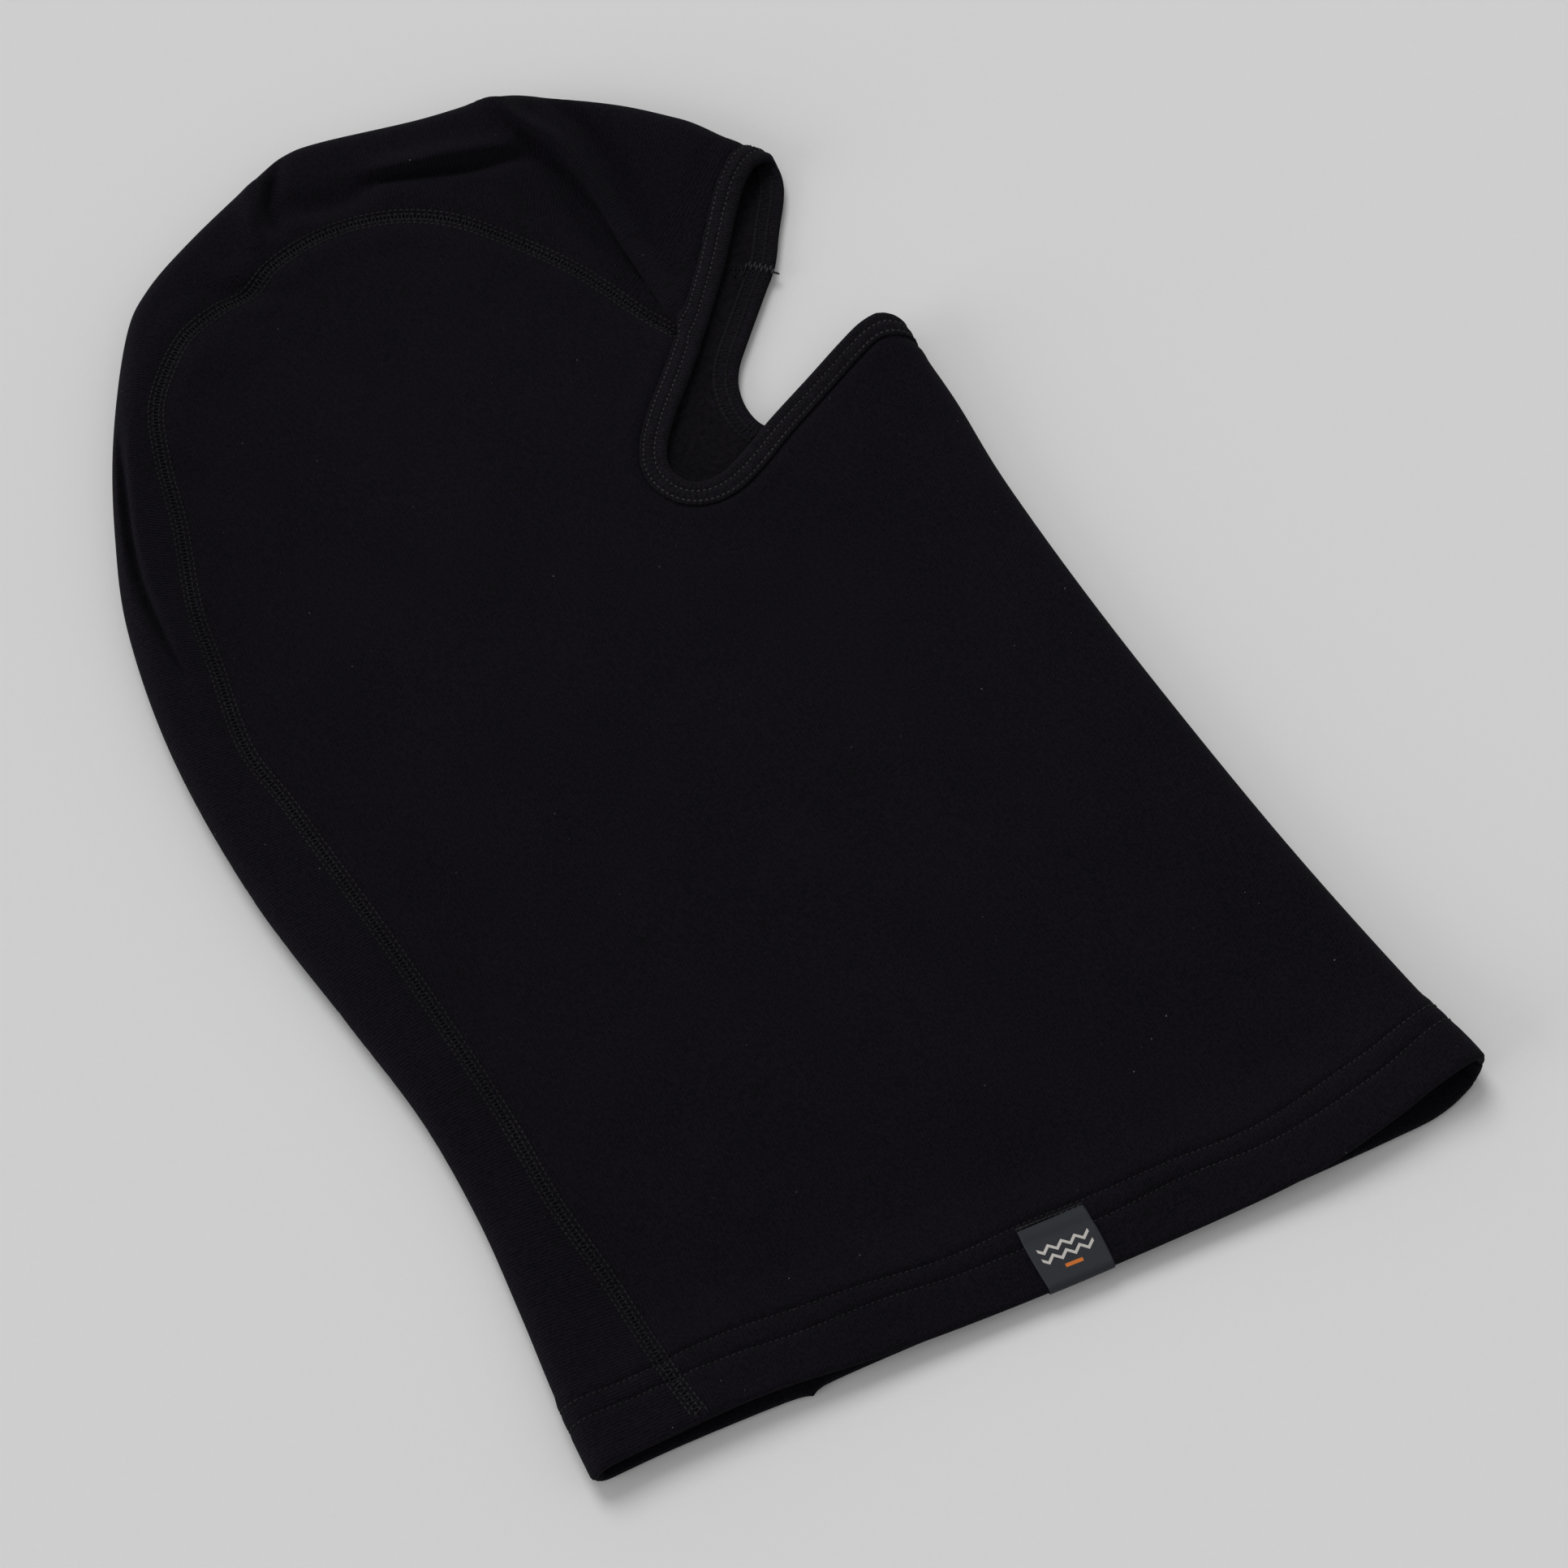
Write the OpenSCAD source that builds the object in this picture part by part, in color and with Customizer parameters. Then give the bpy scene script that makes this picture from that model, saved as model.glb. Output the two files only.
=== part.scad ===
// Knitted balaclava lying flat on its left side, folded along its front and its back: +X is the
// face side, +Y the crown, +Z up. The hem is a straight line at the low end of Y, and the garment
// rests on Z = 0, with its left side below and its right side above.

/* [Garment] */
// Greatest width, from the back of the head to the front of the hem
garment_width = 287; // [260:1:310]
// Length from the hem to the top of the crown
garment_length = 428; // [390:1:460]
// Height of the folded garment over the table
folded_height = 12; // [11:0.5:16]
// Thickness of the brushed jersey
cloth_t = 1.4; // [1.2:0.1:1.6]

/* [Hem] */
// Depth of the turned-up hem
hem_depth = 22; // [20:1:30]
// Distance from the hem edge to the lower row of stitches
lower_row_y = 13; // [10:0.5:18]
// Distance between the two rows of hem stitches
hem_gauge = 6; // [5:0.1:7]

/* [Face binding] */
// Width of the folded strip around the face opening
binding_w = 8; // [6:0.5:10]
// Thickness of one ply of the strip
binding_ply = 0.6; // [0.5:0.05:0.7]

/* [Seams] */
// Width of the flat seam that joins the two panels
seam_w = 5.4; // [4.5:0.1:6.5]
// Width of one sewing thread
thread_w = 0.5; // [0.4:0.05:0.7]
// Distance between two crossings of the covering thread
cover_pitch = 5; // [3:0.5:8]

/* [Label] */
// Width of the woven label
label_w = 20; // [16:1:26]
// Height of the label on each side of the hem
label_h = 18; // [14:1:24]
// Distance of the label's back edge from the middle of the garment
label_x = 6; // [-20:1:40]

/* [Hidden] */

cloth_colour = [0.07, 0.065, 0.08];
thread_colour = [0.2, 0.2, 0.22];
label_colour = [0.17, 0.18, 0.2];

scale_x = garment_width / 287;
scale_y = garment_length / 428;
hem_y = -garment_length / 2;
bend_r = folded_height / 2;        // outer radius of the folds, threads included
thread_t = 0.4;                    // height of a thread over the cloth
fold_r = bend_r - thread_t;        // outer radius of the cloth in a fold
tongue_z = cloth_t - 0.4;          // underside of the thin cloth margin in seams and binding
slip = 0.1;                        // clearance between touching pieces
slot_half = 0.5;                   // half the gap between the two plies of the binding
row_places = [0.3, 0.7];           // where the stitch rows run, across the binding
curve_steps = 5;                   // points on each span of a curve
tack_w = 2.5;                      // width of the closing bar of stitches
tack_angle = -41;                  // its direction, across the binding
far = 400;

// Control points of the flattened garment, in millimetres at the default size
back_line = place([[-124, -214], [-124, -180], [-122, -130], [-131, -62], [-143.5, 11], [-139, 79],
                   [-117, 142], [-72, 197], [-26, 214], [34, 206], [82, 172], [101, 151]]);
front_line = place([[143.5, -214], [138, -179], [128, -121], [117, -46], [112, 11], [111, 75]]);
right_seam_line = place([[-90, -226], [-96, -165], [-103, -104], [-110, -50], [-121, 10], [-120, 78],
                         [-103, 146], [-67, 174], [-24, 177], [9, 162], [28, 138], [45, 103], [50, 88]]);
left_seam_line = place([[-70, -226], [-62, -120], [-62, -50], [-66, 10], [-62, 66], [-47, 112],
                        [-15, 140], [28, 150], [60, 140], [84, 121], [100, 107]]);
right_opening_line = place([[96, 147], [83, 135], [70, 118], [52, 97], [35, 78], [27, 65],
                            [30, 55], [40, 54], [62, 63], [86, 73], [105, 75]]);
left_opening_line = place([[96, 147], [98, 134], [86, 114], [67, 93], [57, 80], [58, 66],
                           [70, 60], [88, 67], [105, 75]]);
crown_out = [0.72, 0.69];          // outward direction of the crown fold at the brow
chin_out = [1, 0];                 // outward direction of the front fold at the chin

function place(points) = [for (p = points) [p.x * scale_x, p.y * scale_y]];

// Smooth curve through a list of points
function spline_point(a, b, c, d, t) =
    0.5 * (2 * b + (c - a) * t + (2 * a - 5 * b + 4 * c - d) * t * t
           + (3 * b - a - 3 * c + d) * t * t * t);
function curve(points) =
    let (last = len(points) - 1)
    [for (i = [0 : last - 1])
        for (k = [0 : i == last - 1 ? curve_steps : curve_steps - 1])
            spline_point(points[max(i - 1, 0)], points[i], points[i + 1],
                         points[min(i + 2, last)], k / curve_steps)];

function reversed(list) = [for (i = [len(list) - 1 : -1 : 0]) list[i]];
function last_of(list) = list[len(list) - 1];
function unit(v) = v / norm(v);
function left_normal(v) = [-v.y, v.x];
function tangent(path, i) = unit(path[min(i + 1, len(path) - 1)] - path[max(i - 1, 0)]);
// The same curve moved to its left by a distance
function beside(path, distance) =
    [for (i = [0 : len(path) - 1]) path[i] + distance * left_normal(tangent(path, i))];
// Outline of a narrow strip along a curve
function ribbon(path, width) =
    concat(beside(path, width / 2), reversed(beside(path, -width / 2)));
function zigzag(path, half) =
    [for (i = [0 : len(path) - 1]) path[i] + (i % 2 == 0 ? half : -half) * left_normal(tangent(path, i))];

// Length along a curve up to each of its points, and the curve cut into equal steps
function lengths(path, i = 0, sum = 0, out = []) =
    i == len(path) ? out
    : let (next = i == 0 ? 0 : sum + norm(path[i] - path[i - 1]))
      lengths(path, i + 1, next, concat(out, [next]));
function even(path, step) =
    let (at = lengths(path), total = last_of(at), count = floor(total / step),
         xs = [for (i = [0 : len(path) - 1]) [at[i], path[i].x]],
         ys = [for (i = [0 : len(path) - 1]) [at[i], path[i].y]])
    [for (k = [0 : count]) [lookup(k * step, xs), lookup(k * step, ys)]];

back_curve = curve(back_line);
front_curve = curve(front_line);
right_seam = curve(right_seam_line);
left_seam = curve(left_seam_line);
right_opening = curve(right_opening_line);
left_opening = curve(left_opening_line);

// Plan of the folded garment, drawn in from its edge by a distance
module garment_plan(inset) {
    intersection() {
        polygon(concat(beside(back_curve, -inset), reversed(beside(front_curve, inset))));
        translate([-far, hem_y])
            square([2 * far, 2 * far]);
    }
}

// Plan of the face opening, widened into the cloth by a distance
module opening_plan(edge, grow) {
    polygon(concat(beside(edge, -grow), [[far, -far / 4], [far, far], [last_of(back_line).x, far]]));
}

// Plan of everything behind a seam line moved towards the face by a distance
module behind_seam_plan(seam, distance) {
    polygon(concat(beside(seam, -distance), [[far, far / 4], [far, far], [-far, far], [-far, -far],
                                             [beside(seam, -distance)[0].x, -far]]));
}

// One flat side of a panel: full cloth, a thin margin that enters the seam and the binding,
// and the turned-up hem inside. Its outer face is at Z = 0.
module panel_side(seam, edge, is_crown) {
    row_gap = thread_w + 2 * slip;
    difference() {
        union() {
            linear_extrude(cloth_t)
                panel_plan(seam, edge, is_crown, seam_w / 2 + slip, binding_w + slip);
            translate([0, 0, tongue_z])
                linear_extrude(cloth_t - tongue_z)
                    panel_plan(seam, edge, is_crown, slip, binding_ply + 2 * slip);
            translate([0, 0, cloth_t])
                linear_extrude(cloth_t - 2 * slip)
                    intersection() {
                        panel_plan(seam, edge, is_crown, slip, binding_w);
                        translate([-far, hem_y])
                            square([2 * far, hem_depth]);
                    }
        }
        for (row = [lower_row_y, lower_row_y + hem_gauge])
            translate([-far, hem_y + row - row_gap / 2, -1])
                cube([2 * far, row_gap, 1 + thread_t]);
    }
}

module panel_plan(seam, edge, is_crown, seam_gap, edge_gap) {
    difference() {
        garment_plan(bend_r);
        opening_plan(edge, edge_gap);
        if (is_crown)
            difference() {
                square(4 * far, center = true);
                behind_seam_plan(seam, -seam_gap);
            }
        else
            behind_seam_plan(seam, seam_gap);
    }
}

// Turns a piece of the lower layer over, on to the upper layer
module upper_layer() {
    translate([0, 0, folded_height])
        mirror([0, 0, 1])
            children();
}

// Closed loft through rings of points; the rings are joined end to end when looped
module loft(rings, looped) {
    sides = len(rings[0]);
    spans = looped ? len(rings) : len(rings) - 1;
    walls = [for (i = [0 : spans - 1])
        for (k = [0 : sides - 1])
            let (a = i * sides, b = ((i + 1) % len(rings)) * sides, n = (k + 1) % sides)
            [a + k, a + n, b + n, b + k]];
    last = (len(rings) - 1) * sides;
    caps = [for (k = [0 : sides / 2 - 2])
        each [[sides - 1 - k, sides - 2 - k, k + 1, k],
              [last + k, last + k + 1, last + sides - 2 - k, last + sides - 1 - k]]];
    polyhedron([for (ring = rings) each ring], looped ? walls : concat(walls, caps));
}

// Half-round bend of cloth along an edge curve
module bend(path, side) {
    arc = [for (angle = [-90 : 22.5 : 90]) angle];
    inner_r = fold_r - cloth_t;
    axis_line = beside(path, side * bend_r);
    rings = [for (i = [0 : len(path) - 1])
        let (out = -side * left_normal(tangent(path, i)), c = axis_line[i])
        concat(
            [for (a = arc) [each (c + fold_r * cos(a) * out), bend_r + fold_r * sin(a)]],
            [for (a = reversed(arc)) [each (c + inner_r * cos(a) * out), bend_r + inner_r * sin(a)]])];
    loft(side > 0 ? reversed(rings) : rings, false);
}

// Part of a curve, from its start to a distance before its end
function shortened(path, cut) =
    let (at = lengths(path), total = last_of(at))
    [for (i = [0 : len(path) - 1]) if (at[i] < total - cut) path[i]];

// Stations around the face opening. Each one holds a point of the folded edge, the direction
// from it into the cloth, and the outward direction of the cloth.
run_r = bend_r - cloth_t;
function run_stations(edge, side) =
    [for (i = [0 : len(edge) - 1])
        [[edge[i].x, edge[i].y, bend_r + side * run_r],
         [each (-left_normal(tangent(edge, i))), 0], [0, 0, side]]];
function bend_stations(centre, out, along, from_side) =
    [for (a = [22.5 : 22.5 : 157.5])
        let (n = [out.x * sin(a), out.y * sin(a), from_side * cos(a)])
        [[centre.x, centre.y, bend_r] + run_r * n, [along.x, along.y, 0], n]];
right_run = run_stations(right_opening, 1);
left_run = run_stations(left_opening, -1);
opening_stations = concat(
    right_run,
    bend_stations(last_of(right_opening), chin_out, [0, -1], 1),
    reversed(left_run),
    bend_stations(left_opening[0], crown_out, [-crown_out.y, crown_out.x], -1));

binding_face = binding_ply + slot_half;   // from the middle of the strip to its outer face

// A profile carried around the face opening: X runs from the edge into the cloth, Y outwards
module around_opening(profile) {
    loft([for (s = opening_stations) [for (p = profile) s[0] + p.x * s[1] + p.y * s[2]]], true);
}

// Ring of thread around the hem, level with the outer face of the cloth
module hem_ring(row, width, outer_r, inner_r) {
    y = hem_y + row;
    back_x = lookup(y, [for (p = back_curve) if (p.y < 0) [p.y, p.x]]) + bend_r;
    front_x = lookup(y, [for (p = front_curve) if (p.y < 0) [p.y, p.x]]) - bend_r;
    translate([0, y + width / 2, bend_r])
        rotate([90, 0, 0])
            linear_extrude(width)
                difference() {
                    stadium(back_x, front_x, outer_r);
                    stadium(back_x, front_x, inner_r);
                }
}

module stadium(from_x, to_x, radius) {
    translate([from_x, -radius])
        square([to_x - from_x, 2 * radius]);
    for (x = [from_x, to_x])
        translate([x, 0])
            circle(radius, $fn = 48);
}

// Cloth band that a seam may use: inside the garment and clear of the binding
module seam_region(edge) {
    difference() {
        garment_plan(bend_r);
        opening_plan(edge, binding_w + 2 * slip);
    }
}

// Four parallel needle threads on the face of a seam
module seam_needle_threads(seam, edge) {
    spacing = (seam_w - thread_w - 2 * slip) / 3;
    translate([0, 0, thread_t + slip / 2])
        linear_extrude(tongue_z - thread_t - slip)
            intersection() {
                union()
                    for (k = [-1.5 : 1 : 1.5])
                        polygon(ribbon(beside(seam, k * spacing), thread_w));
                seam_region(edge);
            }
}

// Thread that zigzags across a seam
module seam_crossing_thread(seam, edge, low_z, high_z) {
    translate([0, 0, low_z])
        linear_extrude(high_z - low_z)
            intersection() {
                polygon(ribbon(zigzag(even(seam, cover_pitch / 2), seam_w / 2 - thread_w), thread_w));
                seam_region(edge);
            }
}

module seam_cover_thread(seam, edge) {
    seam_crossing_thread(seam, edge, 0, thread_t);
}

module seam_looper_thread(seam, edge) {
    seam_crossing_thread(seam, edge, cloth_t + slip / 2, cloth_t + thread_t);
}

module binding_stitch_row(distance) {
    color(thread_colour)
        around_opening([[distance, binding_face], [distance, cloth_t], [distance + thread_w, cloth_t],
                        [distance + thread_w, binding_face]]);
}

module front_panel_right_side() {
    color(cloth_colour)
        upper_layer()
            panel_side(right_seam, right_opening, false);
}

module front_panel_left_side() {
    color(cloth_colour)
        panel_side(left_seam, left_opening, false);
}

module front_panel_fold() {
    color(cloth_colour)
        bend(shortened(front_curve, binding_w), 1);
}

module crown_panel_right_side() {
    color(cloth_colour)
        upper_layer()
            panel_side(right_seam, right_opening, true);
}

module crown_panel_left_side() {
    color(cloth_colour)
        panel_side(left_seam, left_opening, true);
}

module crown_panel_fold() {
    color(cloth_colour)
        bend(shortened(back_curve, binding_w + 1.5), -1);
}

// Strip folded over the raw edge of both panels, open towards the cloth
module face_binding() {
    color(cloth_colour)
        around_opening([[0, -binding_face], [binding_w, -binding_face], [binding_w, -slot_half],
                        [binding_ply, -slot_half], [binding_ply, slot_half], [binding_w, slot_half],
                        [binding_w, binding_face], [0, binding_face]]);
}

module right_seam_needle_threads() {
    color(thread_colour)
        upper_layer()
            seam_needle_threads(right_seam, right_opening);
}

module right_seam_cover_thread() {
    color(thread_colour)
        upper_layer()
            seam_cover_thread(right_seam, right_opening);
}

module right_seam_looper_thread() {
    color(thread_colour)
        upper_layer()
            seam_looper_thread(right_seam, right_opening);
}

module left_seam_needle_threads() {
    color(thread_colour)
        seam_needle_threads(left_seam, left_opening);
}

module left_seam_cover_thread() {
    color(thread_colour)
        seam_cover_thread(left_seam, left_opening);
}

module left_seam_looper_thread() {
    color(thread_colour)
        seam_looper_thread(left_seam, left_opening);
}

module binding_outer_stitch_row() {
    binding_stitch_row(row_places[1] * binding_w);
}

module binding_inner_stitch_row() {
    binding_stitch_row(row_places[0] * binding_w);
}

// Thread that links the two rows on the inside of the binding
module binding_looper_thread() {
    near = row_places[0] * binding_w;
    away = row_places[1] * binding_w;
    color(thread_colour)
        around_opening([[near, -cloth_t], [near, -binding_face], [away, -binding_face],
                        [away, -cloth_t]]);
}

module hem_upper_stitch_row() {
    color(thread_colour)
        hem_ring(lower_row_y + hem_gauge, thread_w, bend_r, fold_r);
}

module hem_lower_stitch_row() {
    color(thread_colour)
        hem_ring(lower_row_y, thread_w, bend_r, fold_r);
}

module hem_looper_thread() {
    face_r = bend_r - 2 * cloth_t;
    color(thread_colour)
        hem_ring(lower_row_y + hem_gauge / 2, hem_gauge, face_r, face_r - thread_t);
}

// Woven label folded over the hem edge of the upper layer
module hem_label() {
    ply = 0.4;
    plies = 2 * cloth_t - slip;
    color(label_colour)
        translate([label_x, hem_y - ply - slip, folded_height - plies - ply])
            difference() {
                cube([label_w, label_h, plies + 2 * ply + slip]);
                translate([-1, ply, ply])
                    cube([label_w + 2, label_h, plies + slip]);
            }
}

// Short stitches along the top edge of the label
module label_tack_stitches() {
    count = 8;
    stitch = label_w / count;
    color(thread_colour)
        for (i = [0 : count - 1])
            translate([label_x + (i + 0.25) * stitch, hem_y + label_h - 2, folded_height + 0.4])
                cube([0.6 * stitch, thread_w, thread_t]);
}

// Bar of stitches across the binding, where the left seam closes its ring
module binding_closing_tack() {
    seam_end = left_seam_line[len(left_seam_line) - 2];
    color(thread_colour)
        translate([seam_end.x, seam_end.y, 2 * cloth_t + slip])
            rotate([0, 0, tack_angle])
                translate([-tack_w / 2, -tack_w / 2, 0])
                    cube([binding_w, tack_w, thread_t]);
}

front_panel_right_side();
front_panel_left_side();
front_panel_fold();
crown_panel_right_side();
crown_panel_left_side();
crown_panel_fold();
face_binding();
right_seam_needle_threads();
right_seam_cover_thread();
right_seam_looper_thread();
left_seam_needle_threads();
left_seam_cover_thread();
left_seam_looper_thread();
binding_outer_stitch_row();
binding_inner_stitch_row();
binding_looper_thread();
hem_upper_stitch_row();
hem_lower_stitch_row();
hem_looper_thread();
hem_label();
label_tack_stitches();
binding_closing_tack();
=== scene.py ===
import math

import bpy
import numpy as np
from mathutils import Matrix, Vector, geometry, kdtree


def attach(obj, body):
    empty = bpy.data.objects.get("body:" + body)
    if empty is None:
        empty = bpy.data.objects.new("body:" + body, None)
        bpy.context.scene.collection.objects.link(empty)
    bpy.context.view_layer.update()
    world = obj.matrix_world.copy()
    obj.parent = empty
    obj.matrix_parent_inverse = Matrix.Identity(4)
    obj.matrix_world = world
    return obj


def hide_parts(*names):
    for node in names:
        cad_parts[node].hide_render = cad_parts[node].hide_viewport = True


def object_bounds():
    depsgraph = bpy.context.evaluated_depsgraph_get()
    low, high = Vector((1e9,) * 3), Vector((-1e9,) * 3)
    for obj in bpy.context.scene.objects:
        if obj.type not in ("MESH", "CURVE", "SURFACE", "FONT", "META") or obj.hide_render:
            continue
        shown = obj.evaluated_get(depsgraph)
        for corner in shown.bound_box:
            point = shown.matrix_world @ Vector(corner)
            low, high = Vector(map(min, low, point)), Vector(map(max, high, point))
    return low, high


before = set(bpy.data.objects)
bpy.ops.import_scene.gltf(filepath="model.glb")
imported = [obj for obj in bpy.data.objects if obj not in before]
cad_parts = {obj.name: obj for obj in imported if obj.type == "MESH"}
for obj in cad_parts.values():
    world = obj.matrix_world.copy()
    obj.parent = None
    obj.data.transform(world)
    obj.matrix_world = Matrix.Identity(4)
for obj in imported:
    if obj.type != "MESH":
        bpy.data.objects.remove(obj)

# A knitted balaclava lying on its left side. All plan sizes below are in millimetres in the
# CAD frame: +X is the face side, +Y the crown, +Z up. Meshes are made in metres.
MM = 0.001
for start_object in [bpy.data.objects.get(n) for n in ("Cube", "Light", "Camera")]:
    if start_object is not None:
        bpy.data.objects.remove(start_object)
cad_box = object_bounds()
CAD_LOW = np.array(cad_box[0]) / MM
CAD_HIGH = np.array(cad_box[1]) / MM
DRAWN_SIZE = (286.7, 428.9)  # width and length that the plan points below are drawn for
PLAN_SCALE = (CAD_HIGH - CAD_LOW)[:2] / np.array(DRAWN_SIZE)

UPPER = 1                 # the right side of the garment, on top
LOWER = -1                # the left side, on the table
CLOTH_T = 1.3             # thickness of the brushed jersey
FOLD_R = 5.5              # horizontal radius of a fold
QUARTER = FOLD_R * math.pi / 2
REACH = QUARTER - FOLD_R  # how far unrolled cloth extends past the outer line of its fold
REST = 0.35               # height of the lower cloth's outer face over the table
HEM_R = 1.35              # radius of the turned-up hem edge
HEM_ARC = math.pi * HEM_R
TURN_UP = 21.0            # height of the turned-up ply
ROWS = (12.6, 18.8)       # hem stitch rows, measured up from the hem edge
SEAM_W = 4.8              # width of the flat seam's stitching
BINDING_W = 8.2           # width of the folded strip round the face opening
BINDING_ROWS = (3.7, 7.0)  # its stitch rows, measured in from the edge of the opening
BINDING_STEP = 0.7        # distance between the binding's stations
STITCH = 1.75             # pitch of the stitches
NEEDLE_R = 0.28           # radius of the needle thread
ROW_LIFT = 0.66           # height of the binding's needle rows over the cloth
STITCH_DIP = 0.6          # how deep a stitch's ends dip, in thread radii
NEAR_HEM = -150           # plan height below which an edge runs near the hem
HEM_MIDDLE = -214.0       # mean plan height of the hem edge

# Fold lines, seams and opening edges of the flattened garment, with the loop height of each
# fold where it is given as a third number
BACK_FOLD = [(-124.8, -225, 5.6), (-124.8, -190, 5.2), (-123.2, -160, 4.6), (-122.3, -130, 4.4),
             (-124.4, -97, 4.5), (-131, -62, 4.6), (-140, -15, 5.0), (-143.3, 35, 5.2),
             (-139.5, 79, 5.4),
             (-130.8, 111, 5.6), (-119, 141.5, 5.9), (-102.5, 172.5, 6.0), (-90.5, 185.5, 5.9),
             (-71, 197, 5.8), (-45, 209, 5.8), (-34, 213, 5.8), (-22, 212.8, 5.8), (8, 207.2, 6.0),
             (29, 204.8, 6.2), (38, 202.8, 6.2), (48, 197.4, 5.9), (67, 185.2, 5.7), (80, 174.5, 5.4),
             (86, 168.5, 5.2), (94, 157.5, 4.8), (99.3, 151.5, 4.5), (101.8, 146.8, 4.3)]
FRONT_FOLD = [(147.5, -225, 7.6), (144.5, -205, 7.0), (138.8, -179, 5.6), (128.4, -121, 4.8),
              (118.2, -46, 4.6), (113, 11, 4.6), (112.3, 45, 5.0), (109.6, 75, 5.8)]
SEAM = {
    UPPER: [(-91.5, -214), (-95, -193), (-98, -162), (-102, -135), (-104, -104), (-110.5, -50),
            (-119, 4), (-123.5, 28), (-121, 57), (-119, 78), (-112.5, 105), (-108.5, 128),
            (-102.5, 146), (-88, 162.5), (-74, 169), (-63, 171.5), (-52, 177), (-38, 180.5),
            (-24, 180.5), (-7, 175.5), (9, 164.5), (28.5, 140.5), (41.5, 115.5), (51, 99)],
    LOWER: [(-70, -214), (-62, -120), (-62, -50), (-66, 10), (-62, 66), (-47, 112), (-15, 140),
            (28, 150), (56, 137), (72, 119.5), (85, 111.5)],
}
OPENING = {
    UPPER: [(104.6, 148.2), (99.2, 147), (94, 145.4), (88.5, 141.2), (82.5, 134.2), (70, 117.5),
            (53, 97), (44, 87), (35, 77.5), (28.5, 69), (26, 62), (28, 56), (33, 53), (40, 53.5),
            (49, 57.5), (61, 64), (80, 73), (90, 77.2), (98, 79.5), (105, 79), (113.1, 75)],
    LOWER: [(104.6, 148.2), (103.4, 145), (101.6, 140), (98.6, 134), (92.8, 125), (86, 114),
            (79.5, 107), (67, 93.5), (60.5, 86), (57, 79), (56, 71), (58, 64), (64, 60), (74, 61),
            (88, 66), (99, 71.5), (106, 75), (113.1, 74)],
}
HEM_LINE = {
    UPPER: [(-132, -209.5), (-128, -209.5), (-108, -208.6), (-75, -208.8), (-40, -212.3), (5, -215.2),
            (57, -217), (90, -217), (113, -214), (130, -210.5), (149, -208.5), (154, -208.5)],
    LOWER: [(-132, -209.5), (-128, -209.5), (-101, -209.4), (-68, -211), (-61, -212.8), (-55, -211),
            (0, -212.8), (57, -215), (111, -216), (131, -215), (149, -208.5), (154, -208.5)],
}


# ---- curves in plan
def curve(points, step):
    """A smooth curve through the points, sampled evenly."""
    points = np.array(points, float)
    points[:, :2] *= PLAN_SCALE
    padded = np.vstack([2 * points[0] - points[1], points, 2 * points[-1] - points[-2]])
    t = np.linspace(0, 1, 25)[:-1, None]
    out = []
    for a, b, c, d in zip(padded, padded[1:], padded[2:], padded[3:]):
        out.append(0.5 * (2 * b + (c - a) * t + (2 * a - 5 * b + 4 * c - d) * t ** 2
                          + (3 * b - a - 3 * c + d) * t ** 3))
    return resample(np.vstack(out + [points[-1:]]), step)


def lengths(line):
    return np.concatenate([[0], np.cumsum(np.linalg.norm(np.diff(line, axis=0), axis=1))])


def resample(line, step):
    at = lengths(line[:, :3])
    count = max(2, int(round(at[-1] / step)) + 1)
    return read_at(np.linspace(0, at[-1], count), at, line)


def unit(v):
    return v / np.linalg.norm(v, axis=1)[:, None]


def tangents(line):
    return unit(np.gradient(line, axis=0))


def read_at(goal, at, values):
    """Each column of values, given at the places at, read at the places goal."""
    return np.column_stack([np.interp(goal, at, column) for column in values.T])


def left_of(v):
    return np.column_stack([-v[:, 1], v[:, 0]])


def beside(line, distance):
    return line + distance * left_of(tangents(line))


def nearest(points, xy, chunk=8000):
    """Index of the nearest of the points to each plan point."""
    near = np.empty(len(xy), int)
    for start in range(0, len(xy), chunk):
        part = xy[start:start + chunk]
        gap = ((part[:, None] - points) ** 2).sum(axis=2)
        near[start:start + chunk] = gap.argmin(axis=1)
    return near


class Guide:
    """A plan curve that says how far points lie from it, on which side, and how far along."""

    def __init__(self, line):
        self.line = line
        self.tangent = tangents(line)
        self.step = np.linalg.norm(line[1] - line[0])

    def locate(self, xy):
        last = len(self.line) - 1
        skip = 5
        rough = nearest(self.line[::skip], xy) * skip
        around = np.clip(rough[:, None] + np.arange(-skip, skip + 1), 0, last)
        gap = ((self.line[around] - xy[:, None]) ** 2).sum(axis=2)
        near = around[np.arange(len(xy)), gap.argmin(axis=1)]
        offset = np.einsum("ij,ij->i", xy - self.line[near], self.tangent[near]) / self.step
        at = np.clip(near + offset, 0, last)
        past = (near + offset - at) * self.step
        index = np.arange(last + 1)
        foot = read_at(at, index, self.line)
        tangent = unit(read_at(at, index, self.tangent))
        side = np.einsum("ij,ij->i", xy - foot, left_of(tangent))
        return side, at / last, past, foot, tangent


def smoothstep(x, low, high):
    t = np.clip((x - low) / (high - low), 0, 1)
    return t * t * (3 - 2 * t)


def bump(x, width):
    return np.exp(-(x / width) ** 2)


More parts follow.
